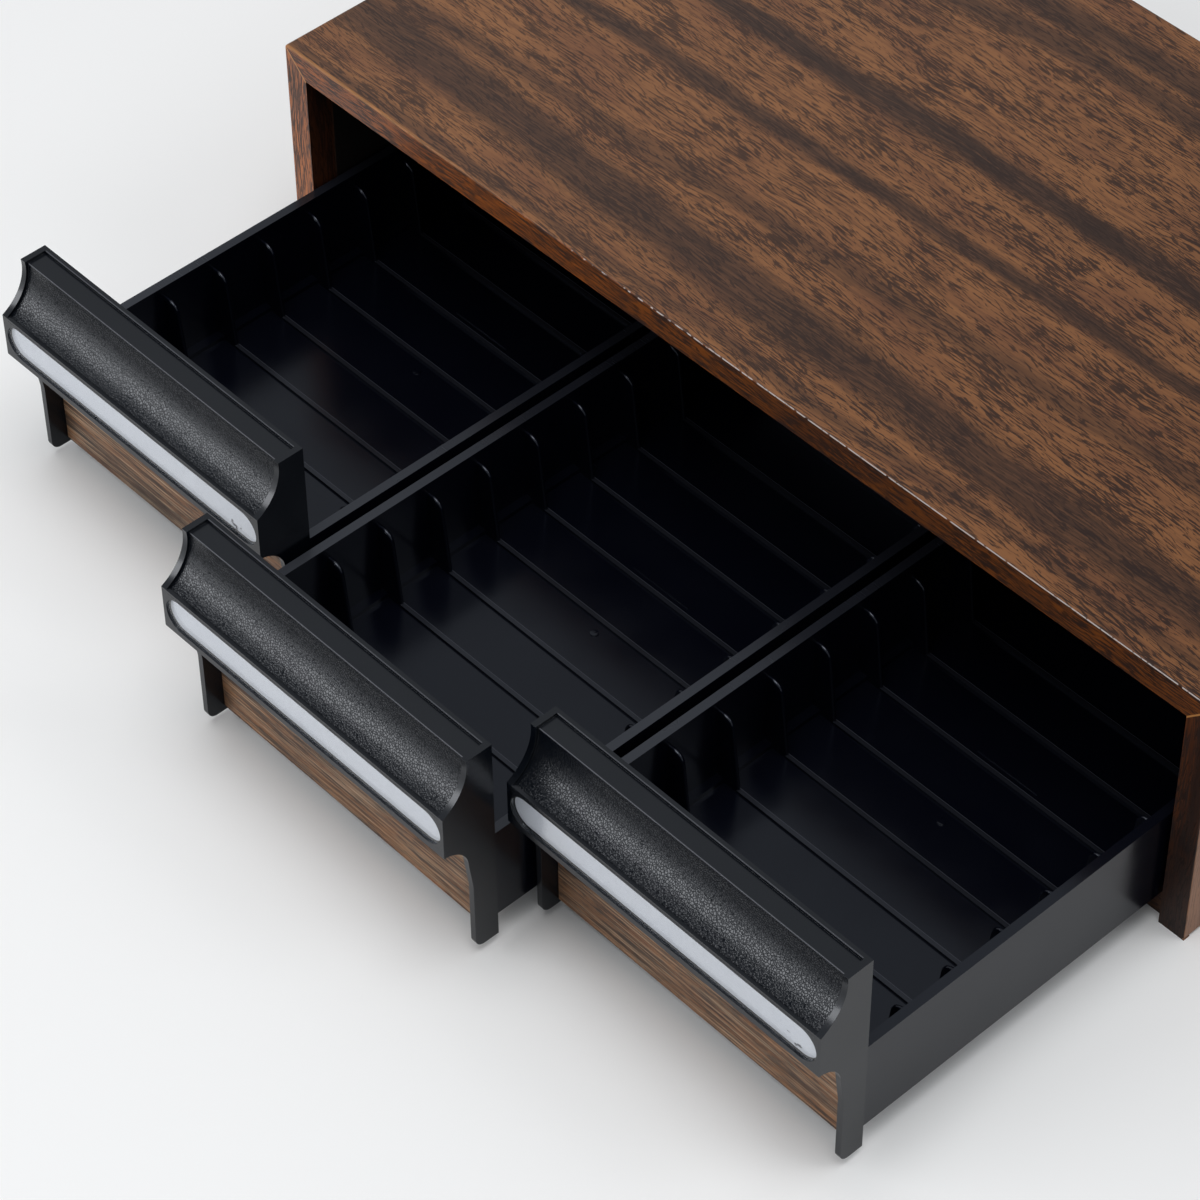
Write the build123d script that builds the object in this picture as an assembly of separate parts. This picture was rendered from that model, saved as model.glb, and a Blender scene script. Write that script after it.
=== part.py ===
from build123d import *
import math
import os

# Tabletop cassette cabinet: a folded board case holding three slotted drawers, side by side.
# Millimetres. X runs across the row of drawers, Y from the front to the back, Z up.
# The origin is the centre of the case's underside. The drawers stand open as modelled.
# A drawer's own frame has X across it from its middle, Y = 0 at the back plane of its front
# (its tray runs to +Y, its label face stands at -Y) and Z = 0 at the underside of its tray.

# What the cabinet holds
CASSETTE_LENGTH = 109.0
CASSETTE_THICKNESS = 17.0
CASSETTE_END_CLEARANCE = 1.0
SLOT_CLEARANCE = 0.55
SLOT_COUNT = 10

# Drawer names, left to right, with how far each is pulled out of its closed place
PULLED_OUT = {"left": 103.6, "middle": 139.3, "right": 117.8}

# Case boards, mitred at the long corners
BOARD = 9.3
CORNER_RADIUS = 1.2
EDGE_RADIUS = 0.6
BOTTOM_SETBACK = 2.5
GROOVE_DEPTH = 4.0
GROOVE_TO_REAR = 6.0
BACK_PANEL = 3.0
BACK_PANEL_CLEARANCE = 0.2

# Running gaps of the drawers in the case
SIDE_GAP = 0.8
DRAWER_GAP = 1.4
GLIDE_GAP = 0.3
STOP_GAP = 0.3
REAR_GAP = 0.8
FRONT_TOP_GAP = 4.3
ANTI_TIP_GAP = 1.6

# Tray
TRAY_WALL = 3.0
TRAY_INSET = 1.0
TRAY_FLOOR = 2.0
TRAY_FRONT_WALL = 1.2
TRAY_BACK_WALL = 2.25
RIM_HEIGHT = 33.5
GUSSET_RADIUS = 24.0
BACK_CORNER_RADIUS = 4.0
RIB_THICKNESS = 1.5
RIB_BELOW_RIM = 4.1
RIB_TOP_REACH = 5.4
RIB_FOOT_REACH = 8.6
RIB_SHOULDER_RADIUS = 4.0
RIB_EDGE_CHAMFER = 0.45
RIDGE_HEIGHT = 0.8
LEDGE_WIDTH = 3.0
LEDGE_HEIGHT = 1.7
GATE_RADIUS = 1.3
GATE_HEIGHT = 0.4
BAR_LENGTH = 23.0
BAR_WIDTH = 0.7
BAR_HEIGHT = 0.4
BAR_BEHIND_RIDGE = 2.0

# Front moulding, depths measured forward from its back plane
FRONT_HEIGHT = 70.8
FRONT_BACK_WALL = 1.5
CHEEK = 2.0
CHEEK_PROUD = 1.0
TOP_DEPTH = 9.05
TOP_RECESS = 1.0
LIP_DEPTH = 18.0
COVE_DROP = 16.5
COVE_RADIUS = 16.2
SHELL = 2.0
LABEL_FACE_HEIGHT = 15.6
BEZEL = 2.6
BEZEL_EDGE = 1.2
UNDERCUT_RADIUS = 9.5
UNDERCUT_HEIGHT = 9.4
UNDERCUT_LIP = 0.9
LEG_DEPTH = 8.3
LEG_SHOULDER = 1.3
LEG_TAPER = 10.0
LEG_DROP = 6.8
LEG_CORNER = 3.2

# Label window: a pill-shaped pocket with a card on its floor and a clear pane over the card
WINDOW_HEIGHT = 11.9
WINDOW_END_MARGIN = 1.3
WINDOW_BELOW_LIP = 1.7
POCKET_DEPTH = 1.6
CARD = 0.25
CARD_CLEARANCE = 0.3
PANE = 0.8
PANE_CLEARANCE = 0.05
PANE_OFF_CARD = 0.05

# Wood-grain strip behind the finger space
STRIP = 0.8
STRIP_DROP = 5.0
STRIP_COVER = 13.0
STRIP_CLEARANCE = 0.15

# Sizes that follow from the ones above
SLOT_PITCH = CASSETTE_THICKNESS + SLOT_CLEARANCE + RIB_THICKNESS
TRAY_INSIDE = CASSETTE_LENGTH + CASSETTE_END_CLEARANCE
TRAY_WIDTH = TRAY_INSIDE + 2 * TRAY_WALL
FRONT_WIDTH = TRAY_WIDTH + 2 * TRAY_INSET
TRAY_INSIDE_END = SLOT_COUNT * SLOT_PITCH - RIB_THICKNESS / 2
TRAY_LENGTH = TRAY_INSIDE_END + TRAY_BACK_WALL
BACK_HEIGHT = FRONT_HEIGHT + FRONT_TOP_GAP - ANTI_TIP_GAP

CASE_INSIDE_HEIGHT = GLIDE_GAP + FRONT_HEIGHT + FRONT_TOP_GAP
CASE_HEIGHT = CASE_INSIDE_HEIGHT + 2 * BOARD
DRAWER_STEP = FRONT_WIDTH + DRAWER_GAP
CASE_INSIDE_WIDTH = len(PULLED_OUT) * DRAWER_STEP - DRAWER_GAP + 2 * SIDE_GAP
CASE_WIDTH = CASE_INSIDE_WIDTH + 2 * BOARD
CASE_DEPTH = BOTTOM_SETBACK - STOP_GAP + TRAY_LENGTH + REAR_GAP + BACK_PANEL + GROOVE_TO_REAR
CASE_FRONT = -CASE_DEPTH / 2
CLOSED_Y = CASE_FRONT + BOTTOM_SETBACK - STOP_GAP
DRAWER_Z = BOARD + GLIDE_GAP

LIP_TOP = FRONT_HEIGHT - COVE_DROP
LIP_BOTTOM = LIP_TOP - LABEL_FACE_HEIGHT
WINDOW_LENGTH = FRONT_WIDTH - 2 * WINDOW_END_MARGIN
WINDOW_Z = LIP_TOP - WINDOW_BELOW_LIP - WINDOW_HEIGHT / 2

# An edge nearer to a plane than this lies on it
TOUCHING = 0.01


def box_between(low, high):
    """A box given by its lowest and highest corners."""
    sizes = [b - a for a, b in zip(low, high)]
    return Pos(*low) * Box(*sizes, align=(Align.MIN, Align.MIN, Align.MIN))


def across(profile, start, end):
    """A profile drawn in (y, z), run along X from start to end."""
    return Pos(start, 0, 0) * extrude(Plane.YZ * profile, end - start)


def corner_points(low_x, low_y, high_x, high_y):
    return [(low_x, low_y), (high_x, low_y), (high_x, high_y), (low_x, high_y)]


# Case

def case_ring():
    """The four boards before they are parted: a square tube with softened outer edges."""
    middle = Pos(0, CASE_HEIGHT / 2)
    outline = RectangleRounded(CASE_WIDTH, CASE_HEIGHT, CORNER_RADIUS)
    hole = Rectangle(CASE_INSIDE_WIDTH, CASE_INSIDE_HEIGHT)
    section = Plane.XZ * (middle * (outline - hole))
    ring = Pos(0, -CASE_FRONT, 0) * extrude(section, CASE_DEPTH)
    outer_end_edges = [
        edge
        for end in (ring.faces().sort_by(Axis.Y)[0], ring.faces().sort_by(Axis.Y)[-1])
        for edge in end.outer_wire().edges()
    ]
    return fillet(outer_end_edges, EDGE_RADIUS)


def mitre_wedge(side):
    """The space one board takes: out from the inner opening, bounded by the two mitres."""
    half_in = CASE_INSIDE_WIDTH / 2
    half_out = CASE_WIDTH / 2
    inner = corner_points(-half_in, BOARD, half_in, CASE_HEIGHT - BOARD)
    outer = corner_points(-half_out, 0, half_out, CASE_HEIGHT)
    first = {"bottom": 0, "right": 1, "top": 2, "left": 3}[side]
    second = (first + 1) % 4
    corners = [inner[first], outer[first], outer[second], inner[second]]
    face = make_face(Polyline(*corners, close=True))
    return Pos(0, -CASE_FRONT, 0) * extrude(Plane.XZ * face, CASE_DEPTH)


def back_panel(clearance):
    """The thin back, let into the grooves; with no clearance it is the shape of the grooves."""
    reach = GROOVE_DEPTH - clearance
    half_width = CASE_INSIDE_WIDTH / 2 + reach
    rear = -CASE_FRONT - GROOVE_TO_REAR
    low = (-half_width, rear - BACK_PANEL, BOARD - reach)
    high = (half_width, rear, CASE_HEIGHT - BOARD + reach)
    return box_between(low, high)


def case_boards():
    ring = case_ring() - back_panel(0)
    boards = {side: ring & mitre_wedge(side) for side in ("top", "bottom", "left", "right")}
    front = box_between(
        (-CASE_WIDTH, CASE_FRONT - BOARD, -BOARD),
        (CASE_WIDTH, CASE_FRONT + BOTTOM_SETBACK, CASE_HEIGHT),
    )
    boards["bottom"] -= front
    return boards


# Tray

def rib_profile():
    """One rib in (x, z), growing from the right wall: round shoulder, drafted edge, wide foot."""
    wall = TRAY_INSIDE / 2
    rib_top = RIM_HEIGHT - RIB_BELOW_RIM
    corners = [
        (wall, TRAY_FLOOR),
        (wall, rib_top),
        (wall - RIB_TOP_REACH, rib_top),
        (wall - RIB_FOOT_REACH, TRAY_FLOOR),
    ]
    face = make_face(Polyline(*corners, close=True))
    shoulder = face.vertices().sort_by(Axis.Y)[-2:].sort_by(Axis.X)[0]
    return fillet(shoulder, RIB_SHOULDER_RADIUS)


def rib():
    """One rib on the right wall, with the edges of its free outline eased."""
    body = extrude(Plane.XZ * rib_profile(), RIB_THICKNESS / 2, both=True)
    free_edges = [
        edge
        for edge in body.faces().filter_by(Axis.Y).edges()
        if edge.center().X < TRAY_INSIDE / 2 - TOUCHING
        and edge.center().Z > TRAY_FLOOR + TOUCHING
    ]
    return chamfer(free_edges, RIB_EDGE_CHAMFER)


def rib_row():
    """Ribs on both walls with the low ridge that joins each pair across the floor."""
    right_rib = rib()
    half_ridge = TRAY_INSIDE / 2 - RIB_TOP_REACH
    ridge = box_between(
        (-half_ridge, -RIB_THICKNESS / 2, 0),
        (half_ridge, RIB_THICKNESS / 2, TRAY_FLOOR + RIDGE_HEIGHT),
    )
    one = right_rib + mirror(right_rib, Plane.YZ) + ridge
    return [Pos(0, number * SLOT_PITCH, 0) * one for number in range(1, SLOT_COUNT)]


def tray_side_profile():
    """Side wall in (y, z): a level rim that sweeps up to the tall back wall."""
    rear = TRAY_LENGTH
    radius = min(GUSSET_RADIUS, BACK_HEIGHT - RIM_HEIGHT - 1)
    sweep_end = TRAY_LENGTH - TRAY_BACK_WALL
    outline = [
        Line((0, 0), (rear, 0)),
        Line((rear, 0), (rear, RIM_HEIGHT + radius)),
        Line((rear, RIM_HEIGHT + radius), (sweep_end, RIM_HEIGHT + radius)),
        RadiusArc((sweep_end, RIM_HEIGHT + radius), (sweep_end - radius, RIM_HEIGHT), radius),
        Line((sweep_end - radius, RIM_HEIGHT), (0, RIM_HEIGHT)),
        Line((0, RIM_HEIGHT), (0, 0)),
    ]
    return make_face(outline)


def tray_back_wall():
    """The tall back wall, which keeps the drawer level under the case's top."""
    outline = RectangleRounded(TRAY_WIDTH, BACK_HEIGHT, BACK_CORNER_RADIUS)
    upper = Pos(0, BACK_HEIGHT / 2) * outline
    lower = Pos(0, RIM_HEIGHT / 2) * Rectangle(TRAY_WIDTH, RIM_HEIGHT)
    return Pos(0, TRAY_LENGTH, 0) * extrude(Plane.XZ * (upper + lower), TRAY_BACK_WALL)


def tray_floor_marks():
    """The moulding's gate stub and a short plain bar on the floor."""
    gate_y = (SLOT_COUNT // 2 - 0.25) * SLOT_PITCH
    top = TRAY_FLOOR + GATE_HEIGHT
    gate = Pos(0, gate_y, 0) * Cylinder(
        GATE_RADIUS, top, align=(Align.CENTER, Align.CENTER, Align.MIN)
    )
    bar_y = (SLOT_COUNT // 2 + 1) * SLOT_PITCH + RIB_THICKNESS / 2 + BAR_BEHIND_RIDGE
    bar = box_between(
        (-BAR_LENGTH / 2, bar_y, 0),
        (BAR_LENGTH / 2, bar_y + BAR_WIDTH, TRAY_FLOOR + BAR_HEIGHT),
    )
    return [gate, bar]


def tray():
    half = TRAY_WIDTH / 2
    inside = TRAY_INSIDE / 2
    wall = across(tray_side_profile(), inside, half)
    walls = wall + mirror(wall, Plane.YZ)
    floor = box_between((-half, 0, 0), (half, TRAY_LENGTH, TRAY_FLOOR))
    front_wall = box_between((-half, 0, 0), (half, TRAY_FRONT_WALL, RIM_HEIGHT))
    ledge = box_between(
        (inside - LEDGE_WIDTH, 0, 0), (inside, TRAY_LENGTH, TRAY_FLOOR + LEDGE_HEIGHT)
    )
    ledges = [ledge, mirror(ledge, Plane.YZ)]
    pieces = [walls, floor, front_wall, tray_back_wall(), *ledges, *rib_row()]
    body = Part() + pieces + tray_floor_marks()
    return body.solid()


# Front moulding

def cove_centre():
    """Centre (y, z) of the hollow arc from the top's front edge to the label face's top edge."""
    top = (-TOP_DEPTH, FRONT_HEIGHT)
    lip = (-LIP_DEPTH, LIP_TOP)
    chord = math.dist(top, lip)
    out = math.sqrt(COVE_RADIUS**2 - (chord / 2) ** 2)
    along = ((lip[0] - top[0]) / chord, (lip[1] - top[1]) / chord)
    return ((top[0] + lip[0]) / 2 + along[1] * out, (top[1] + lip[1]) / 2 - along[0] * out)


def cove(extra):
    return Pos(*cove_centre()) * Circle(COVE_RADIUS + extra)


def cheek_profile():
    """End cheek in (y, z) with the leg that hangs in front of the case's bottom board."""
    shoulder_z = LIP_BOTTOM - UNDERCUT_HEIGHT
    shoulder_y = -(LEG_DEPTH + LEG_SHOULDER)
    undercut_start = (-LIP_DEPTH + UNDERCUT_LIP, LIP_BOTTOM)
    outline = [
        Line((0, -LEG_DROP), (0, FRONT_HEIGHT)),
        Line((0, FRONT_HEIGHT), (-LIP_DEPTH, FRONT_HEIGHT)),
        Line((-LIP_DEPTH, FRONT_HEIGHT), (-LIP_DEPTH, LIP_BOTTOM)),
        Line((-LIP_DEPTH, LIP_BOTTOM), undercut_start),
        RadiusArc(undercut_start, (shoulder_y, shoulder_z), UNDERCUT_RADIUS),
        Line((shoulder_y, shoulder_z), (-LEG_DEPTH, shoulder_z - LEG_TAPER)),
        Line((-LEG_DEPTH, shoulder_z - LEG_TAPER), (-LEG_DEPTH, -LEG_DROP)),
        Line((-LEG_DEPTH, -LEG_DROP), (0, -LEG_DROP)),
    ]
    face = make_face(outline)
    toe = face.vertices().sort_by(Axis.Y)[:2].sort_by(Axis.X)[0]
    return fillet(toe, LEG_CORNER) - cove(0)


def shell_profile():
    """Hollow shell between the cheeks in (y, z): back wall, top, cove and label plate."""
    block = Polygon(
        *corner_points(-LIP_DEPTH, LIP_BOTTOM, 0, FRONT_HEIGHT), align=None
    )
    recess = Polygon(
        *corner_points(
            -LIP_DEPTH, FRONT_HEIGHT - TOP_RECESS, -FRONT_BACK_WALL, FRONT_HEIGHT + TOP_RECESS
        ),
        align=None,
    )
    hollow = Polygon(
        *corner_points(
            -LIP_DEPTH + BEZEL,
            LIP_BOTTOM - SHELL,
            -FRONT_BACK_WALL,
            FRONT_HEIGHT - TOP_RECESS - SHELL,
        ),
        align=None,
    )
    hollow -= cove(CHEEK_PROUD + SHELL)
    plate_edge = Polygon(
        *corner_points(-LIP_DEPTH, LIP_BOTTOM, -LIP_DEPTH + BEZEL_EDGE, LIP_TOP), align=None
    )
    back_wall = Polygon(*corner_points(-FRONT_BACK_WALL, -STRIP_DROP, 0, FRONT_HEIGHT), align=None)
    return block - recess - cove(CHEEK_PROUD) - hollow + plate_edge + back_wall


def label_pill(clearance, outer_depth, thickness):
    """A pill-shaped plate whose outer face lies outer_depth behind the label face."""
    pill = SlotOverall(WINDOW_LENGTH - 2 * clearance, WINDOW_HEIGHT - 2 * clearance)
    face = Plane.XZ * (Pos(0, WINDOW_Z) * pill)
    return Pos(0, -LIP_DEPTH + outer_depth + thickness, 0) * extrude(face, thickness)


def front_moulding():
    half = FRONT_WIDTH / 2
    cheek = across(cheek_profile(), half - CHEEK, half)
    shell = across(shell_profile(), -half + CHEEK, half - CHEEK)
    body = shell + cheek + mirror(cheek, Plane.YZ)
    return (body - label_pill(0, 0, POCKET_DEPTH)).solid()


def wood_strip():
    half = FRONT_WIDTH / 2 - CHEEK - STRIP_CLEARANCE
    front = -FRONT_BACK_WALL - STRIP
    return box_between(
        (-half, front, -STRIP_DROP), (half, -FRONT_BACK_WALL, LIP_BOTTOM + STRIP_COVER)
    )


def label_card():
    return label_pill(CARD_CLEARANCE, POCKET_DEPTH - CARD, CARD)


def label_pane():
    outer_depth = POCKET_DEPTH - CARD - PANE_OFF_CARD - PANE
    return label_pill(PANE_CLEARANCE, outer_depth, PANE)


# Assembly

def drawer_places():
    """Each drawer's place by name, at the pull it is modelled with."""
    first_x = -(len(PULLED_OUT) - 1) / 2 * DRAWER_STEP
    return {
        name: Pos(first_x + number * DRAWER_STEP, CLOSED_Y - pull, DRAWER_Z)
        for number, (name, pull) in enumerate(PULLED_OUT.items())
    }


def build_nodes():
    nodes = {f"case_{side}": board for side, board in case_boards().items()}
    nodes["case_back"] = back_panel(BACK_PANEL_CLEARANCE)
    drawer_pieces = {
        "tray": tray(),
        "front": front_moulding(),
        "wood_strip": wood_strip(),
        "label_card": label_card(),
        "label_window": label_pane(),
    }
    for side, place in drawer_places().items():
        for piece, solid in drawer_pieces.items():
            nodes[f"{side}_{piece}"] = place * solid
    return nodes


os.makedirs("parts", exist_ok=True)
for node, shape in build_nodes().items():
    export_step(shape, f"parts/{node}.step")
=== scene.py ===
import math

import bpy
from mathutils import Matrix, Vector


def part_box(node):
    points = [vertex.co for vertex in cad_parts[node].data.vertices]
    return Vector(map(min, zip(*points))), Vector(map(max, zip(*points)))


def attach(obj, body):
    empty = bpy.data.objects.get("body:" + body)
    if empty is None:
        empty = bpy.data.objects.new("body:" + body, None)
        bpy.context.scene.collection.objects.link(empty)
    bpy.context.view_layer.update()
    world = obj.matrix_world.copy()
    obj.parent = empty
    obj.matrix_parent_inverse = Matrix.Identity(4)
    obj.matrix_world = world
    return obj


# Looks of a tabletop cassette cabinet with three pulled-out drawers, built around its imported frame.
# Blender works in metres; sizes below are in millimetres where MM or "mm" stands beside them.

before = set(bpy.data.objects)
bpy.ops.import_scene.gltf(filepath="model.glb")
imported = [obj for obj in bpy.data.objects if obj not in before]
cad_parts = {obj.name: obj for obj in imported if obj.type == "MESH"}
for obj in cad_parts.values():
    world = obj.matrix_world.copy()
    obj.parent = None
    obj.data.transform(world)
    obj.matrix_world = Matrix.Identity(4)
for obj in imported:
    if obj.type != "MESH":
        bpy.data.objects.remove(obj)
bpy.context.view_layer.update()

MM = 0.001
SIDES = ("left", "middle", "right")

# Camera, fitted to the photograph's frame of 1200 x 1200 pixels
IMAGE_SIDE = 1200
FOCAL_PIXELS = 4240.3
SENSOR = 36.0
CAMERA_TURN = 0.8306
CAMERA_RISE = 0.8069
CAMERA_ROLL = -0.0102
CAMERA_DISTANCE = 1.2355
CAMERA_TARGET = Vector((-4.6, -142.0, 17.4)) * MM

# Faces and edges of the case, in mm, read from the frame
CASE_LOW, CASE_HIGH = [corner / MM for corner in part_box("case_left")]
CASE_HALF_WIDTH = -CASE_LOW.x
CASE_FRONT = CASE_LOW.y
CASE_TOP = CASE_HIGH.z
BOARD = CASE_HALF_WIDTH + CASE_HIGH.x

# Front moulding, in mm in its drawer's own frame. That frame's origin is the middle of the tray's
# front foot.
COVE_CENTRE_Y = -25.2
COVE_CENTRE_Z = 68.8
COVE_RADIUS = 17.2
COVE_HALF_LENGTH = 57.0
RECESS_TOP = 69.8
RECESS_EDGE_Y = COVE_CENTRE_Y + math.sqrt(COVE_RADIUS ** 2 - (RECESS_TOP - COVE_CENTRE_Z) ** 2)
REAR_EDGE_Y = -1.5
REAR_EDGE_Z = 70.8

# Tray, in mm in the same frame
RIM_TOP = 33.5
RIDGE_TOP = 2.8
RIDGE_PITCH = 19.05
RIDGE_HALF = 0.75


def drawer_origin(side):
    """The middle of the tray's front foot, in mm."""
    low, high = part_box(f"{side}_tray")
    return Vector(((low.x + high.x) / 2, low.y, low.z)) / MM


# Nodes

class Shade:
    """One node material, with a short call for each kind of node it uses."""

    def __init__(self, name):
        self.material = bpy.data.materials.new(name)
        self.material.use_nodes = True
        self.tree = self.material.node_tree
        self.tree.nodes.clear()

    def feed(self, socket, value):
        if isinstance(value, bpy.types.NodeSocket):
            self.tree.links.new(value, socket)
        elif socket.type == "RGBA" and len(value) == 3:
            socket.default_value = (*value, 1.0)
        else:
            socket.default_value = value

    def node(self, kind, inputs=(), **settings):
        made = self.tree.nodes.new(kind)
        for name, value in settings.items():
            setattr(made, name, value)
        for key, value in dict(inputs).items():
            self.feed(made.inputs[key], value)
        return made

    def math(self, operation, a, b=0.0, c=0.0):
        return self.node("ShaderNodeMath", {0: a, 1: b, 2: c}, operation=operation).outputs[0]

    def add(self, a, b):
        return self.math("ADD", a, b)

    def sub(self, a, b):
        return self.math("SUBTRACT", a, b)

    def mul(self, a, b):
        return self.math("MULTIPLY", a, b)

    def apart(self, a, b):
        """How far a is from b, without sign."""
        return self.math("ABSOLUTE", self.sub(a, b))

    def vector(self, x, y, z):
        return self.node("ShaderNodeCombineXYZ", {0: x, 1: y, 2: z}).outputs[0]

    def parts(self, vector):
        return self.node("ShaderNodeSeparateXYZ", {0: vector}).outputs

    def scaled(self, vector, scale):
        inputs = {0: vector, 1: scale}
        return self.node("ShaderNodeVectorMath", inputs, operation="MULTIPLY").outputs[0]

    def moved(self, vector, step):
        inputs = {0: vector, 1: step}
        return self.node("ShaderNodeVectorMath", inputs, operation="ADD").outputs[0]

    def length(self, vector):
        return self.node("ShaderNodeVectorMath", {0: vector}, operation="LENGTH").outputs["Value"]

    def grains(self, plane, size):
        """A plane in mm, counted in grains of the given length and width in mm."""
        return self.scaled(plane, (1 / size[0], 1 / size[1], 1))

    def cells(self, place, size):
        """A place in mm, counted in cubes of the given size in mm."""
        return self.scaled(place, (1 / size,) * 3)

    def place(self):
        """Object coordinates in mm."""
        coordinates = self.node("ShaderNodeTexCoord").outputs["Object"]
        return self.scaled(coordinates, (1 / MM, 1 / MM, 1 / MM))

    def facing(self, axis):
        """The surface normal's share along one object axis."""
        return self.parts(self.node("ShaderNodeTexCoord").outputs["Normal"])[axis]

    def noise(self, vector, detail=2.0, roughness=0.5):
        inputs = {"Vector": vector, "Scale": 1.0, "Detail": detail, "Roughness": roughness}
        return self.node("ShaderNodeTexNoise", inputs).outputs["Fac"]

    def spread(self, value, start, end, low, high, interpolation_type="LINEAR"):
        """An even climb from low to high as value goes from start to end."""
        inputs = {"Value": value, "From Min": start, "From Max": end, "To Min": low, "To Max": high}
        made = self.node("ShaderNodeMapRange", inputs, interpolation_type=interpolation_type)
        return made.outputs["Result"]

    def step(self, value, start, end, low=0.0, high=1.0):
        """A smooth climb from low to high as value goes from start to end."""
        return self.spread(value, start, end, low, high, "SMOOTHSTEP")

    def fade(self, value, start, end, level=1.0):
        """A smooth fall from level to nothing as value goes from start to end."""
        return self.step(value, start, end, level, 0.0)

    def blend(self, share, first, second, blend_type="MIX"):
        made = self.node("ShaderNodeMix", data_type="RGBA", blend_type=blend_type)
        self.feed(made.inputs[0], share)
        self.feed(made.inputs[6], first)
        self.feed(made.inputs[7], second)
        return made.outputs[2]

    def tinted(self, colour, tone):
        return self.blend(1.0, colour, tone, "MULTIPLY")

    def bump(self, height, depth_mm, strength=1.0, normal=None):
        inputs = {"Strength": strength, "Distance": depth_mm * MM, "Height": height}
        if normal is not None:
            inputs["Normal"] = normal
        return self.node("ShaderNodeBump", inputs).outputs["Normal"]

    def finish(self, **sockets):
        """Closes the tree with a Principled shader; keywords are its sockets with _ for spaces."""
        shader = self.node("ShaderNodeBsdfPrincipled")
        for name, value in sockets.items():
            self.feed(shader.inputs[name.replace("_", " ")], value)
        return self.close(shader.outputs[0])

    def close(self, surface):
        output = self.node("ShaderNodeOutputMaterial")
        self.tree.links.new(surface, output.inputs["Surface"])
        return self.material


# Wood-grain vinyl of the case

WOOD_LIGHT = (0.240, 0.104, 0.042)
WOOD_MID = (0.118, 0.051, 0.025)
WOOD_DARK = (0.029, 0.0165, 0.0130)
WOOD_DARK_STREAK = (0.082, 0.040, 0.024)
WOOD_FLECK = (0.024, 0.0125, 0.0100)
WOOD_RED = (0.120, 0.048, 0.026)

# Length along the grain and width across it of the figure's parts, in mm
SWAY_GRAIN = (70, 26)
RIPPLE_GRAIN = (26, 8)
DASH_GRAIN = (8.5, 0.54)
SLANT_GRAIN = (5.0, 0.75)
STREAK_GRAIN = (45, 1.5)
PATCH_GRAIN = (45, 14)
LOOSE_GRAIN = (150, 20)
THREAD_GRAIN = (28, 0.9)
CROWD_GRAIN = (26, 8)
EMBOSS_GRAIN = (0.35, 1.4)
SWAY_REACH = 7.0
RIPPLE_REACH = 1.8
SLANT = math.radians(10)

# What the sheet's colour is multiplied by on each board's front edge, from one end to the other: partly
# the print's own tone, partly painted light (lighter at the left and on the left board) and painted
# shade (darker to the right, on the bottom board and low on the right board)
FRONT_TONES_AND_LIGHT = {
    "case_top": ((1.15, 0.70, 0.22), (0.64, 0.44, 0.22)),
    "case_left": ((1.6, 1.10, 0.62), (1.6, 1.10, 0.62)),
    "case_right": ((0.16, 0.11, 0.09), (0.42, 0.30, 0.22)),
    "case_bottom": ((0.5, 0.42, 0.36), (0.5, 0.42, 0.36)),
}

# Inside the case the vinyl ends this far behind the front edge, in mm, and a dark face follows, partly a
# dark lining and partly painted shade. The inner faces are darkened as painted shade, and the paler line
# along the wrap's edge is a painted highlight on its small step
WRAP_DEPTH = 9.5
INSIDE_SHADE_TONE = (0.30, 0.20, 0.14)
INSIDE_LINING_AND_SHADE = (0.010, 0.0075, 0.0065)
WRAP_EDGE_HIGHLIGHT = (0.10, 0.055, 0.035)
# The right board's outer side is paler: partly a paler print, partly painted light and sheen from the
# right
OUTSIDE_PALE_AND_LIGHT = (0.36, 0.21, 0.145)

# Rubbed places of the vinyl and painted highlights on its edges: the pale rubbed edge is partly wear and
# partly painted highlight, the orange corner line is a painted highlight on the worn substrate, and the
# pale line under the top's front is a painted highlight
MITRE_LINE = (0.42, 0.19, 0.06)
RUBBED_AND_HIGHLIGHT = (0.66, 0.60, 0.58)
ORANGE_EDGE_HIGHLIGHT = (0.62, 0.27, 0.07)
UNDER_EDGE_HIGHLIGHT = (0.30, 0.29, 0.32)

# The vinyl's tone at its left and right ends, painted light brighter at the left and painted shade
# darker at the right, and its sheen there
LEFT_LIGHT_TONE, RIGHT_SHADE_TONE = (1.04, 1.04, 1.04), (0.86, 0.84, 0.82)
LEFT_SHEEN, RIGHT_SHEEN = 0.42, 0.18

# Strips behind the finger spaces
STRIP_STRETCH = 1.35
STRIP_SHIFT = 400.0
STRIP_GRAIN = (38, 0.42)
STRIP_PALE = (0.40, 0.275, 0.18)
STRIP_LINE = (0.034, 0.022, 0.016)
STRIP_TONE = (0.92, 0.92, 0.90)

# Dark figure of the sheet on the case's top, in mm: where its middle crosses X = 0, its slope
# and bend, its half width and its strength
TOP_BANDS = (
    (14.0, 0.020, -0.00008, 5.5, 0.95),
    (-18.0, 0.030, 0.00000, 3.6, 0.85),
    (-77.0, -0.015, 0.00006, 9.0, 0.80),
    (-50.0, 0.060, 0.00000, 4.0, 0.55),
    (72.0, 0.050, -0.00110, 5.0, 0.75),
    (84.0, 0.080, 0.00000, 6.0, 0.80),
    (-96.0, 0.020, 0.00000, 2.2, 0.50),
)


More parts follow.
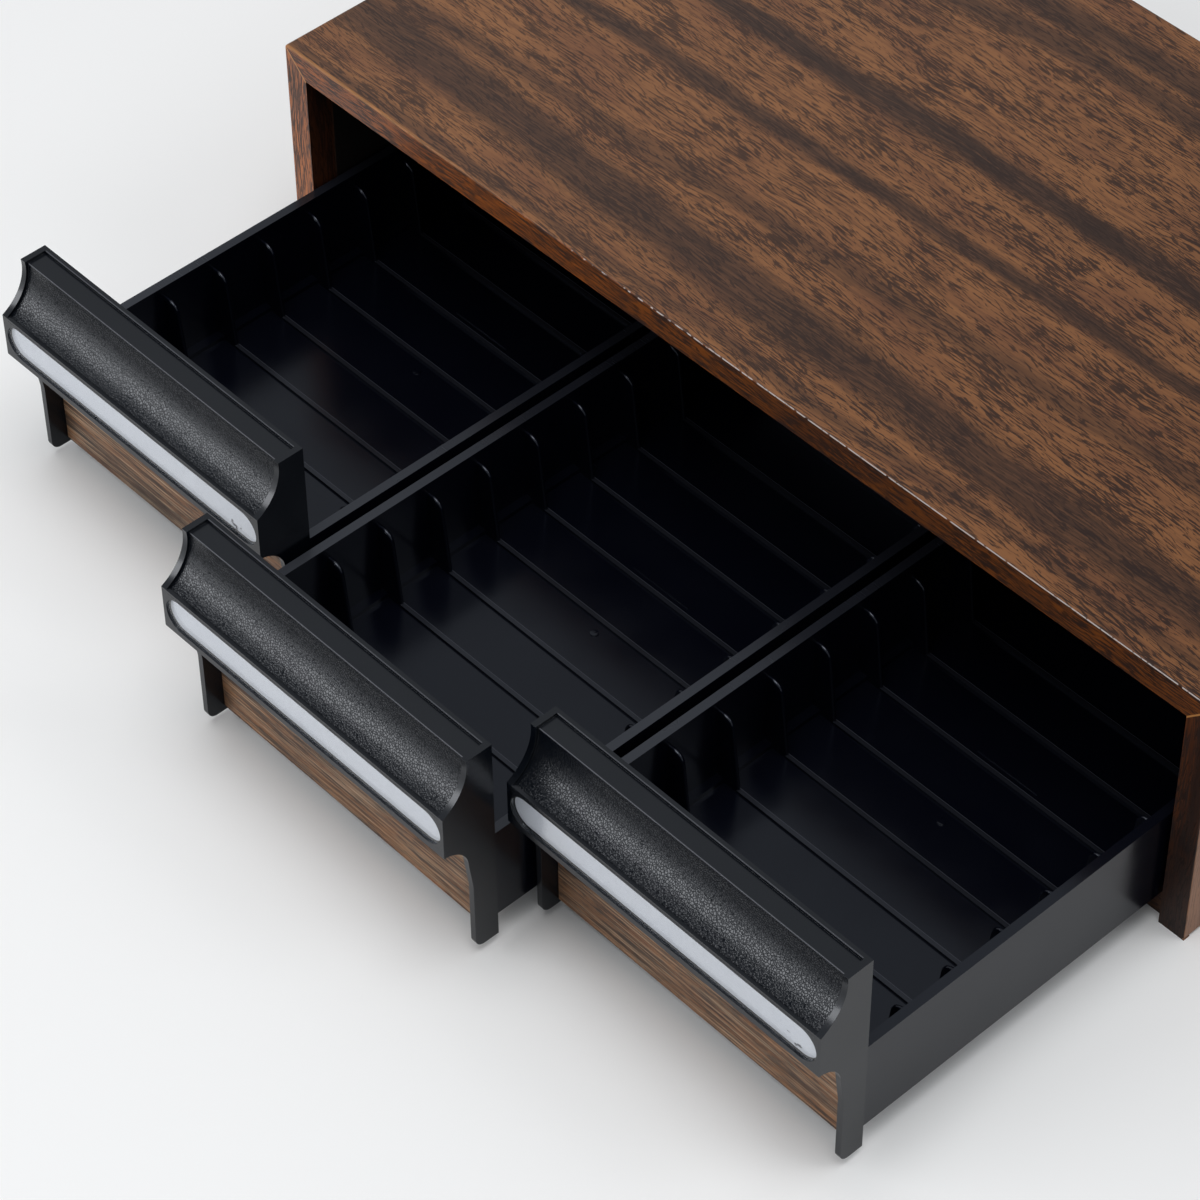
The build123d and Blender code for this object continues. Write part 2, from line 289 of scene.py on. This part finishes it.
def sheet_place(shade, board):
    """(u, v) of the vinyl sheet in mm: u runs with the grain round the case, v across it."""
    x, y, z = shade.parts(shade.place())
    if board in ("case_top", "case_bottom"):
        fold = shade.sub(z, CASE_TOP) if board == "case_top" else shade.mul(z, -1.0)
        return x, shade.add(y, fold)
    outward = 1.0 if board == "case_right" else -1.0
    from_top = shade.sub(z, CASE_TOP)
    along = shade.sub(outward * CASE_HALF_WIDTH, shade.mul(from_top, outward))
    inset = shade.sub(shade.mul(x, outward), CASE_HALF_WIDTH)
    return along, shade.add(y, inset)


def band_mask(shade, u, v, fray, middle, slope, bend, half_width, strength):
    """Strength within one dark band, whose edges the fray moves in and out."""
    centre = shade.math("MULTIPLY_ADD", shade.math("MULTIPLY_ADD", u, bend, slope), u, middle)
    away = shade.add(shade.math("DIVIDE", shade.apart(v, centre), half_width), fray)
    return shade.fade(away, 0.40, 1.35, strength)


def wood_colours(shade, u, v, bands, loose_bands):
    """Colour, flecks and dashes of the printed walnut figure."""
    plane = shade.vector(u, v, 0.0)
    sway = shade.noise(shade.grains(plane, SWAY_GRAIN))
    ripple = shade.noise(shade.grains(plane, RIPPLE_GRAIN), detail=1.0)
    v = shade.add(v, shade.mul(shade.sub(sway, 0.5), SWAY_REACH))
    v = shade.add(v, shade.mul(shade.sub(ripple, 0.5), RIPPLE_REACH))
    plane = shade.vector(u, v, 0.0)

    dash = shade.noise(shade.grains(plane, DASH_GRAIN), detail=3.0, roughness=0.55)
    turned = shade.node("ShaderNodeVectorRotate", {"Vector": plane, "Angle": SLANT},
                        rotation_type="Z_AXIS").outputs[0]
    slant_dash = shade.noise(shade.grains(turned, SLANT_GRAIN))
    streak = shade.noise(shade.grains(plane, STREAK_GRAIN), detail=3.0, roughness=0.6)
    patch = shade.noise(shade.grains(plane, PATCH_GRAIN))
    thread = shade.noise(shade.grains(plane, THREAD_GRAIN), detail=3.0, roughness=0.6)
    crowd = shade.noise(shade.moved(shade.grains(plane, CROWD_GRAIN), (5.0, 9.0, 2.0)))

    fray = shade.mul(shade.sub(dash, 0.5), 2.4)
    dark = 0.0
    for band in bands:
        dark = shade.math("MAXIMUM", band_mask(shade, u, v, fray, *band), dark)
    if loose_bands:
        wide = shade.add(shade.noise(shade.grains(plane, LOOSE_GRAIN)), shade.mul(fray, 0.04))
        dark = shade.math("MAXIMUM", shade.step(wide, 0.55, 0.63, 0.0, loose_bands), dark)

    base = shade.blend(shade.step(streak, 0.30, 0.56), WOOD_MID, WOOD_LIGHT)
    base = shade.blend(shade.step(patch, 0.42, 0.75, 0.0, 0.6), base, WOOD_RED)
    heart = shade.blend(shade.step(thread, 0.46, 0.64), WOOD_DARK, WOOD_DARK_STREAK)
    base = shade.blend(dark, base, heart)
    thick = shade.spread(crowd, 0.30, 0.70, 0.070, -0.060)
    flecks = shade.math("MAXIMUM",
                        shade.step(shade.add(dash, thick), 0.525, 0.575),
                        shade.step(shade.add(slant_dash, thick), 0.560, 0.610, 0.0, 0.9))
    ink = shade.step(u, -CASE_HALF_WIDTH, CASE_HALF_WIDTH, 0.80, 0.94)
    colour = shade.blend(shade.mul(flecks, ink), base, WOOD_FLECK)
    return colour, flecks, dash


def front_share(shade):
    """1 on faces that look straight to the front."""
    return shade.fade(shade.facing(1), -0.85, -0.6)


def board_faces(shade, colour, dash, board):
    """The boards' front edges, insides and outside, which differ from the sheet on top."""
    x, y, z = shade.parts(shade.place())
    front = front_share(shade)
    along = shade.step(z, 20.0, CASE_TOP) if board == "case_right" else shade.step(x, -150.0, 60.0)
    # Painted light and shade on the front edges, over the print's own tone
    tone = shade.blend(along, *FRONT_TONES_AND_LIGHT[board])
    colour = shade.blend(front, colour, shade.tinted(colour, tone))
    colour = shade.blend(shade.mul(front, shade.step(dash, 0.46, 0.54, 0.0, 0.65)), colour, WOOD_FLECK)
    if board in ("case_left", "case_right"):
        # Painted shade on the inner faces, near black behind the wrap, with a painted highlight along
        # the wrap's edge
        inward = shade.mul(shade.facing(0), 1.0 if board == "case_left" else -1.0)
        depth = shade.sub(y, CASE_FRONT)
        inside_shade = shade.tinted(colour, INSIDE_SHADE_TONE)
        inside_shade = shade.blend(shade.step(depth, WRAP_DEPTH, WRAP_DEPTH + 0.3), inside_shade, INSIDE_LINING_AND_SHADE)
        inside_shade = shade.blend(shade.fade(shade.apart(depth, WRAP_DEPTH), 0.1, 0.3, 0.5), inside_shade, WRAP_EDGE_HIGHLIGHT)
        colour = shade.blend(shade.step(inward, 0.6, 0.85), colour, inside_shade)
    if board == "case_right":
        # Painted light and sheen on the right board's outer side, with a paler print
        outside = shade.step(shade.facing(0), 0.6, 0.85)
        colour = shade.blend(outside, colour, shade.blend(0.55, colour, OUTSIDE_PALE_AND_LIGHT))
    return colour


def edge_wear_and_highlights(shade, colour, board):
    """Pale rubbed edges along the top's front, partly wear and partly painted highlight; a painted
    orange highlight at the top's left front corner; a painted highlight along the top's lower front
    edge; and the raw mitre lines on the front faces.
    """
    x, y, z = shade.parts(shade.place())
    front = front_share(shade)
    if board in ("case_top", "case_left", "case_right"):
        out = shade.sub(shade.math("ABSOLUTE", x), CASE_HALF_WIDTH)
        off_mitre = shade.apart(out, shade.sub(z, CASE_TOP))
        colour = shade.blend(shade.mul(shade.fade(off_mitre, 0.25, 0.5, 0.9), front), colour, MITRE_LINE)
    if board == "case_top":
        chips = shade.noise(shade.vector(shade.mul(x, 1 / 2.6), y, 0.0), detail=4.0)
        whole = shade.step(x, -120.0, 40.0, 0.20, -0.05)
        # Patchy pale line along the top's front edge: partly wear, partly a painted highlight on its
        # rounding
        wear_and_highlight = shade.step(shade.sub(chips, whole), 0.44, 0.52)
        for level, behind, half in ((0.80, 0.10, 0.10), (0.65, 0.75, 0.06)):
            off_edge = shade.length(shade.vector(0.0, shade.sub(y, CASE_FRONT + behind),
                                                 shade.sub(z, CASE_TOP - 0.12)))
            near = shade.fade(off_edge, half, half + 0.20, level)
            colour = shade.blend(shade.mul(near, wear_and_highlight), colour, RUBBED_AND_HIGHLIGHT)
        # Painted orange highlight on the left end of the top's front edge, over the worn substrate
        off_edge = shade.add(shade.sub(CASE_TOP, z), shade.sub(y, CASE_FRONT))
        corner_highlight = shade.mul(shade.fade(x, -160.0, -70.0, 0.30), shade.fade(off_edge, 0.2, 0.6))
        colour = shade.blend(corner_highlight, colour, ORANGE_EDGE_HIGHLIGHT)
        # Painted highlight, pale and bluish, along the top board's lower front edge
        underside_highlight = shade.mul(shade.fade(shade.sub(z, CASE_TOP - BOARD), 0.15, 0.4, 0.5), front)
        colour = shade.blend(underside_highlight, colour, UNDER_EDGE_HIGHLIGHT)
    return colour


def vinyl_material(board):
    shade = Shade(f"vinyl_{board}")
    u, v = sheet_place(shade, board)
    bands, loose_bands = (TOP_BANDS, 0.0) if board == "case_top" else ((), 0.85)
    colour, flecks, dash = wood_colours(shade, u, v, bands, loose_bands)
    colour = board_faces(shade, colour, dash, board)
    colour = edge_wear_and_highlights(shade, colour, board)
    # Painted light and shade: brighter towards the left end, darker towards the right
    rightward = shade.step(shade.parts(shade.place())[0], -CASE_HALF_WIDTH, CASE_HALF_WIDTH)
    colour = shade.tinted(colour, shade.blend(rightward, LEFT_LIGHT_TONE, RIGHT_SHADE_TONE))
    sheen = shade.spread(rightward, 0.0, 1.0, LEFT_SHEEN, RIGHT_SHEEN)
    shine = shade.spread(flecks, 0.0, 1.0, 0.44, 0.54)
    emboss = shade.noise(shade.grains(shade.vector(u, v, 0.0), EMBOSS_GRAIN), detail=1.0)
    normal = shade.bump(emboss, 0.02, 0.5, shade.bump(dash, 0.05, 0.6))
    return shade.finish(Base_Color=colour, Roughness=shine, Normal=normal, Specular_IOR_Level=sheen)


def strip_material(side):
    """The paler wood-grain strip behind the finger space."""
    shade = Shade(f"strip_{side}")
    x, y, z = shade.parts(shade.place())
    u = shade.add(x, STRIP_SHIFT * SIDES.index(side))
    colour, flecks, dash = wood_colours(shade, u, shade.mul(z, STRIP_STRETCH), (), 0.75)
    along, across = STRIP_GRAIN
    plane = shade.vector(shade.mul(u, 1 / along), 0.0, shade.mul(z, 1 / across))
    pale = shade.noise(plane, detail=4.0, roughness=0.6)
    colour = shade.blend(shade.step(pale, 0.49, 0.60, 0.0, 0.90), colour, STRIP_PALE)
    line = shade.noise(shade.moved(plane, (7.0, 3.0, 11.0)), detail=3.0)
    colour = shade.blend(shade.step(line, 0.51, 0.59, 0.0, 0.88), colour, STRIP_LINE)
    colour = shade.tinted(colour, STRIP_TONE)
    normal = shade.bump(pale, 0.06, 0.7)
    return shade.finish(Base_Color=colour, Roughness=0.55, Normal=normal, Specular_IOR_Level=0.35)


HARDBOARD_DARK, HARDBOARD_PALE = (0.075, 0.042, 0.024), (0.15, 0.088, 0.05)
HARDBOARD_CLOUD = (0.10, 0.055, 0.03)


def hardboard_material():
    shade = Shade("hardboard")
    place = shade.place()
    fibre = shade.noise(shade.scaled(place, (1 / 1.4, 1, 1 / 0.9)), detail=5.0, roughness=0.7)
    cloud = shade.noise(shade.scaled(place, (1 / 40, 1, 1 / 40)))
    colour = shade.blend(shade.step(fibre, 0.35, 0.65), HARDBOARD_DARK, HARDBOARD_PALE)
    colour = shade.blend(shade.step(cloud, 0.4, 0.7, 0.0, 0.4), colour, HARDBOARD_CLOUD)
    return shade.finish(Base_Color=colour, Roughness=0.72, Normal=shade.bump(fibre, 0.12, 0.7))


# Black plastics

TRAY_BLACK = (0.0012, 0.0016, 0.0042)
FRONT_BLACK = (0.0014, 0.0024, 0.0046)
# Painted sheen and highlights: rim tops, ridge tops, ridge rear edges, and the fronts' recess and rear
# top edges
RIM_SHEEN = (0.027, 0.029, 0.035)
RIDGE_TOP_SHEEN = (0.010, 0.011, 0.015)
RIDGE_EDGE_HIGHLIGHT = (0.032, 0.034, 0.042)
EDGE_HIGHLIGHT = (0.090, 0.093, 0.106)
DUST = (0.16, 0.16, 0.17)
SCUFF = (0.10, 0.10, 0.11)
TRAY_GLOSS = (0.80, 0.87, 1.0)
FRONT_GLOSS = (0.90, 0.93, 0.98)
TRAY_ROUGHNESS = 0.19
FRONT_ROUGHNESS = 0.22

# Scuffs of the fronts beside those of the trays
FRONT_SCUFFS = 0.2

# Specular levels, and the shares of them on faces that look to the right or straight to the front
TRAY_SHINE, TRAY_SIDE_SHINE = 0.50, 0.24
FRONT_SHINE, CREASE_SHINE = 0.60, 0.14
RIGHT_FACE_SHARE, FRONT_FACE_SHARE = 0.48, 0.55

# Leather grain of the cove: cells to the mm, and the depth of its creases in mm
LEATHER_CELLS = 1.35
LEATHER_DEPTH = 0.032

# Each drawer's noise is moved this far along X from the one before, in mm
NOISE_SHIFT = 313.0


def moulded_surface(shade, place, base, base_roughness, normal=None, scuffs=1.0):
    """Colour, roughness and normal of moulded black plastic with fine scuffs and dust."""
    grain = shade.noise(shade.cells(place, 0.25))
    cloud = shade.noise(shade.cells(place, 22), detail=3.0)
    scuff = shade.noise(shade.scaled(place, (1 / 9, 1 / 0.35, 1 / 0.35)), detail=3.0, roughness=0.6)
    dust = shade.noise(shade.cells(place, 0.9), detail=1.0)
    colour = shade.blend(shade.step(dust, 0.77, 0.82, 0.0, 0.05), base, DUST)
    colour = shade.blend(shade.step(scuff, 0.68, 0.78, 0.0, 0.03 * scuffs), colour, SCUFF)
    rough = shade.add(shade.spread(cloud, 0.3, 0.7, base_roughness - 0.03, base_roughness + 0.05),
                      shade.step(scuff, 0.6, 0.75, 0.0, 0.04 * scuffs))
    normal = shade.bump(grain, 0.010, 0.45, normal)
    return colour, rough, normal


def drawer_place(shade, side):
    """Place in mm in the drawer's own frame."""
    return shade.moved(shade.place(), -drawer_origin(side))


def noise_place(shade, place, side):
    """The same place, moved on so that no two drawers share their noise."""
    return shade.moved(place, (NOISE_SHIFT * SIDES.index(side), 0.0, 0.0))


def tray_material(side):
    """Glossy moulded plastic with painted sheen on the rim tops and ridge tops and a painted highlight
    on the ridges' rear edges; the rims' painted sheen fades into painted shade towards the case.
    """
    shade = Shade(f"tray_{side}")
    place = drawer_place(shade, side)
    shifted = noise_place(shade, place, side)
    waves = shade.noise(shade.cells(shifted, 34), detail=1.0)
    normal = shade.bump(waves, 0.16, 0.8)
    colour, rough, normal = moulded_surface(shade, shifted, TRAY_BLACK, TRAY_ROUGHNESS, normal)
    x, y, z = shade.parts(place)
    upward = shade.step(shade.facing(2), 0.8, 0.95)
    # Painted sheen on the rim tops, fading into painted shade towards the case and along the right
    # tray's right rim
    sheened_rim = shade.mul(shade.step(z, RIM_TOP - 0.5, RIM_TOP - 0.3), upward)
    depth = shade.sub(shade.parts(shade.place())[1], CASE_FRONT)
    sheened_rim = shade.mul(sheened_rim, shade.step(depth, -95.0, -5.0, 1.0, 0.3))
    if side == "right":
        sheened_rim = shade.mul(sheened_rim, shade.step(x, 0.0, 50.0, 1.0, 0.15))
    # Painted highlight on the ridge tops, and a thinner painted highlight on their rear edges
    off_ridge = shade.apart(z, RIDGE_TOP)
    sheened_ridge = shade.mul(shade.fade(off_ridge, 0.1, 0.2), upward)
    off_edge = shade.math("PINGPONG", shade.sub(y, RIDGE_HALF), RIDGE_PITCH / 2)
    ridge_glint = shade.mul(shade.fade(off_edge, 0.12, 0.26), shade.fade(off_ridge, 0.2, 0.3))
    colour = shade.blend(sheened_rim, colour, RIM_SHEEN)
    colour = shade.blend(sheened_ridge, colour, RIDGE_TOP_SHEEN)
    colour = shade.blend(ridge_glint, colour, RIDGE_EDGE_HIGHLIGHT)
    shine = shade.step(shade.facing(0), 0.8, 0.95, TRAY_SHINE, TRAY_SIDE_SHINE)
    rough = shade.add(rough, shade.mul(sheened_rim, 0.12))
    return shade.finish(Base_Color=colour, Roughness=rough, Normal=normal,
                        Specular_IOR_Level=shine, Specular_Tint=TRAY_GLOSS)


def front_material(side):
    """Leather grain in the cove, plain moulded plastic elsewhere."""
    shade = Shade(f"front_{side}")
    place = drawer_place(shade, side)
    shifted = noise_place(shade, place, side)
    x, y, z = shade.parts(place)
    radial = shade.vector(0.0, shade.sub(y, COVE_CENTRE_Y), shade.sub(z, COVE_CENTRE_Z))
    off_cove = shade.apart(shade.length(radial), COVE_RADIUS)
    between = shade.fade(shade.math("ABSOLUTE", x), COVE_HALF_LENGTH - 0.5, COVE_HALF_LENGTH)
    leather = shade.mul(shade.fade(off_cove, 0.10, 0.30), between)

    warp = shade.node("ShaderNodeTexNoise", {"Vector": shifted, "Scale": 1.2, "Detail": 2.0})
    bent = shade.moved(shifted, shade.scaled(warp.outputs["Color"], (0.55, 0.55, 0.55)))
    cells = shade.node("ShaderNodeTexVoronoi", {"Vector": bent, "Scale": LEATHER_CELLS},
                       feature="DISTANCE_TO_EDGE").outputs["Distance"]
    pebble = shade.step(cells, 0.0, 0.22)
    fine = shade.noise(shade.scaled(shifted, (3.0, 3.0, 3.0)))
    height = shade.mul(shade.add(pebble, shade.mul(fine, 0.5)), leather)
    normal = shade.bump(height, LEATHER_DEPTH)
    colour, rough, normal = moulded_surface(shade, shifted, FRONT_BLACK, FRONT_ROUGHNESS, normal,
                                            FRONT_SCUFFS)
    # Painted highlights along the recess's front edge and the rear top edge
    for edge_y, edge_z, level in ((RECESS_EDGE_Y, RECESS_TOP, 0.95), (REAR_EDGE_Y, REAR_EDGE_Z, 0.6)):
        off_edge = shade.length(shade.vector(0.0, shade.sub(y, edge_y), shade.sub(z, edge_z)))
        edge_glint = shade.mul(shade.fade(off_edge, 0.18, 0.36, level), between)
        colour = shade.blend(edge_glint, colour, EDGE_HIGHLIGHT)
    crease = shade.mul(shade.fade(cells, 0.02, 0.14), leather)
    shine = shade.spread(crease, 0.0, 1.0, FRONT_SHINE, CREASE_SHINE)
    shine = shade.mul(shine, shade.step(shade.facing(0), 0.8, 0.95, 1.0, RIGHT_FACE_SHARE))
    shine = shade.mul(shine, shade.step(shade.facing(1), -0.98, -0.90, FRONT_FACE_SHARE, 1.0))
    rough = shade.sub(rough, shade.mul(leather, 0.04))
    return shade.finish(Base_Color=colour, Roughness=rough, Normal=normal,
                        Specular_IOR_Level=shine, Specular_Tint=FRONT_GLOSS)


# Label cards and the panes over them

CARD_DARK, CARD_PALE = (0.560, 0.568, 0.600), (0.600, 0.608, 0.640)
CARD_CLOUD = (0.52, 0.535, 0.59)
NICK_DARK = (0.02, 0.02, 0.03)

# Small dark nicks in the cards' right ends, in mm in the drawer's frame: x, z and half widths
CARD_NICKS = {
    "left": ((45.2, 43.4, 0.5, 0.7), (46.2, 42.4, 1.2, 0.5), (47.0, 41.7, 0.5, 0.55),
             (49.0, 43.0, 0.35, 0.3)),
    "middle": (),
    "right": ((50.4, 42.6, 1.0, 0.45), (49.3, 42.0, 0.6, 0.4), (46.4, 44.8, 0.6, 0.16)),
}


def card_material(side):
    shade = Shade(f"card_{side}")
    place = drawer_place(shade, side)
    x, y, z = shade.parts(place)
    fibre = shade.noise(shade.scaled(place, (1 / 0.5, 1, 1 / 0.4)), detail=3.0)
    cloud = shade.noise(shade.scaled(place, (1 / 25, 1, 1 / 8)))
    colour = shade.blend(shade.step(fibre, 0.35, 0.65), CARD_DARK, CARD_PALE)
    colour = shade.blend(shade.step(cloud, 0.45, 0.7, 0.0, 0.25), colour, CARD_CLOUD)
    ragged = shade.mul(shade.sub(fibre, 0.5), 2.2)
    for nick_x, nick_z, half_x, half_z in CARD_NICKS[side]:
        away = shade.length(shade.vector(shade.mul(shade.sub(x, nick_x), 1 / half_x), 0.0,
                                         shade.mul(shade.sub(z, nick_z), 1 / half_z)))
        mark = shade.fade(shade.add(away, ragged), 0.8, 1.2, 0.95)
        colour = shade.blend(mark, colour, NICK_DARK)
    return shade.finish(Base_Color=colour, Roughness=0.6, Normal=shade.bump(fibre, 0.01, 0.4))


PANE_CLEAR = (0.96, 0.97, 0.98)
PANE_MIRROR = (1.0, 1.0, 1.0)
PANE_FACING_SHARE = 0.035


def window_material():
    """Clear pane: what is behind it shows, with a mirror's share by the viewing angle."""
    shade = Shade("window")
    smear = shade.noise(shade.scaled(shade.place(), (1 / 9, 1, 1 / 4)), detail=3.0)
    clear = shade.node("ShaderNodeBsdfTransparent", {"Color": PANE_CLEAR})
    gloss = shade.node("ShaderNodeBsdfGlossy", {"Color": PANE_MIRROR})
    shade.feed(gloss.inputs["Roughness"], shade.spread(smear, 0.3, 0.7, 0.05, 0.14))
    slant = shade.node("ShaderNodeLayerWeight", {"Blend": 0.5}).outputs["Facing"]
    share = shade.spread(shade.math("POWER", slant, 5.0), 0.0, 1.0, PANE_FACING_SHARE, 1.0)
    both = shade.node("ShaderNodeMixShader", {0: share, 1: clear.outputs[0], 2: gloss.outputs[0]})
    return shade.close(both.outputs[0])


# Pieces

def dress(node, material):
    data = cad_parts[node].data
    data.materials.clear()
    data.materials.append(material)


TRAY_EDGES = 0.18
FRONT_EDGES = 0.22
WELD_REACH = 0.001
SHARP_ANGLE = math.radians(50)


def soften(node, width_mm):
    """Rounds a moulding's sharp edges a little."""
    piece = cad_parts[node]
    weld = piece.modifiers.new("weld", "WELD")
    weld.merge_threshold = WELD_REACH * MM
    bevel = piece.modifiers.new("soft_edges", "BEVEL")
    bevel.width = width_mm * MM
    bevel.segments = 2
    bevel.limit_method = "ANGLE"
    bevel.angle_limit = SHARP_ANGLE
    bevel.use_clamp_overlap = True
    bevel.harden_normals = False
    normals = piece.modifiers.new("shading", "WEIGHTED_NORMAL")
    normals.keep_sharp = False
    normals.weight = 80


def make_corner_foot(side):
    """The side board's square front corner at the floor, in front of the set-back bottom board."""
    outward = 1.0 if side == "right" else -1.0
    outer, inner = outward * CASE_HALF_WIDTH, outward * (CASE_HALF_WIDTH - BOARD)
    front, rear = CASE_FRONT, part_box("case_bottom")[0].y / MM
    corners = [(x * MM, y * MM, z * MM)
               for y in (front, rear) for x, z in ((inner, 0), (outer, 0), (inner, BOARD))]
    faces = [(0, 1, 2), (5, 4, 3), (0, 3, 4, 1), (1, 4, 5, 2), (2, 5, 3, 0)]
    if side == "left":
        faces = [face[::-1] for face in faces]
    mesh = bpy.data.meshes.new(f"corner_foot_{side}")
    mesh.from_pydata(corners, [], faces)
    foot = bpy.data.objects.new(f"corner_foot_{side}", mesh)
    bpy.context.scene.collection.objects.link(foot)
    mesh.materials.append(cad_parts[f"case_{side}"].data.materials[0])
    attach(foot, "case")


def dress_everything():
    for board in ("case_top", "case_bottom", "case_left", "case_right"):
        dress(board, vinyl_material(board))
    dress("case_back", hardboard_material())
    window = window_material()
    for side in SIDES:
        dress(f"{side}_tray", tray_material(side))
        dress(f"{side}_front", front_material(side))
        dress(f"{side}_wood_strip", strip_material(side))
        dress(f"{side}_label_card", card_material(side))
        dress(f"{side}_label_window", window)
        soften(f"{side}_tray", TRAY_EDGES)
        soften(f"{side}_front", FRONT_EDGES)


# Studio

FLOOR_TONE = 0.88
FLOOR_HALF = 6.0
STUDIO_MIDDLE = Vector((0.0, -0.15, 0.04))
WORLD_TINT = (0.94, 0.97, 1.0, 1.0)
WORLD_STRENGTH = 0.43

# Lamps: name, bearing and distance from the studio's middle, width, height and radiance
LAMPS = (
    ("overhead", (0.08, -0.13, 0.98), 2.4, 1.6, 1.6, 2.78),
    ("far_right", (0.58, 0.38, 0.72), 2.4, 0.9, 0.9, 1.7),
    ("low_window", (-0.52, -0.80, 0.265), 1.8, 1.5, 0.80, 3.2),
)


def make_floor():
    shade = Shade("floor")
    material = shade.finish(Base_Color=(FLOOR_TONE,) * 3, Roughness=0.8, Specular_IOR_Level=0.0)
    corners = [(-FLOOR_HALF, -FLOOR_HALF, 0), (FLOOR_HALF, -FLOOR_HALF, 0),
               (FLOOR_HALF, FLOOR_HALF, 0), (-FLOOR_HALF, FLOOR_HALF, 0)]
    mesh = bpy.data.meshes.new("floor")
    mesh.from_pydata(corners, [], [(0, 1, 2, 3)])
    mesh.materials.append(material)
    floor = bpy.data.objects.new("floor", mesh)
    bpy.context.scene.collection.objects.link(floor)


def make_lamp(name, bearing, distance, width, height, radiance):
    """A soft rectangular lamp, turned to the middle of the object from the bearing given."""
    data = bpy.data.lights.new(name, "AREA")
    data.shape = "RECTANGLE"
    data.size = width
    data.size_y = height
    data.energy = 4 * radiance * width * height
    lamp = bpy.data.objects.new(name, data)
    bearing = Vector(bearing).normalized()
    lamp.location = STUDIO_MIDDLE + bearing * distance
    lamp.rotation_mode = "QUATERNION"
    lamp.rotation_quaternion = (-bearing).to_track_quat("-Z", "Y")
    bpy.context.scene.collection.objects.link(lamp)


def make_world():
    world = bpy.data.worlds.new("studio")
    world.use_nodes = True
    background = world.node_tree.nodes["Background"]
    background.inputs["Color"].default_value = WORLD_TINT
    background.inputs["Strength"].default_value = WORLD_STRENGTH
    bpy.context.scene.world = world


def make_camera():
    turn, rise, roll = CAMERA_TURN, CAMERA_RISE, CAMERA_ROLL
    back = Vector((math.sin(turn) * math.cos(rise), -math.cos(turn) * math.cos(rise), math.sin(rise)))
    level = Vector((math.cos(turn), math.sin(turn), 0.0))
    upright = back.cross(level)
    right = math.cos(roll) * level + math.sin(roll) * upright
    up = math.cos(roll) * upright - math.sin(roll) * level
    data = bpy.data.cameras.new("camera")
    data.sensor_fit = "HORIZONTAL"
    data.sensor_width = SENSOR
    data.lens = FOCAL_PIXELS / IMAGE_SIDE * SENSOR
    data.clip_start, data.clip_end = 0.05, 50.0
    camera = bpy.data.objects.new("camera", data)
    turned = Matrix((right, up, back)).transposed().to_4x4()
    camera.matrix_world = Matrix.Translation(CAMERA_TARGET + back * CAMERA_DISTANCE) @ turned
    bpy.context.scene.collection.objects.link(camera)
    bpy.context.scene.camera = camera


dress_everything()
make_corner_foot("left")
make_corner_foot("right")
make_floor()
make_world()
for lamp in LAMPS:
    make_lamp(*lamp)
make_camera()
bpy.context.scene.view_settings.view_transform = "Standard"
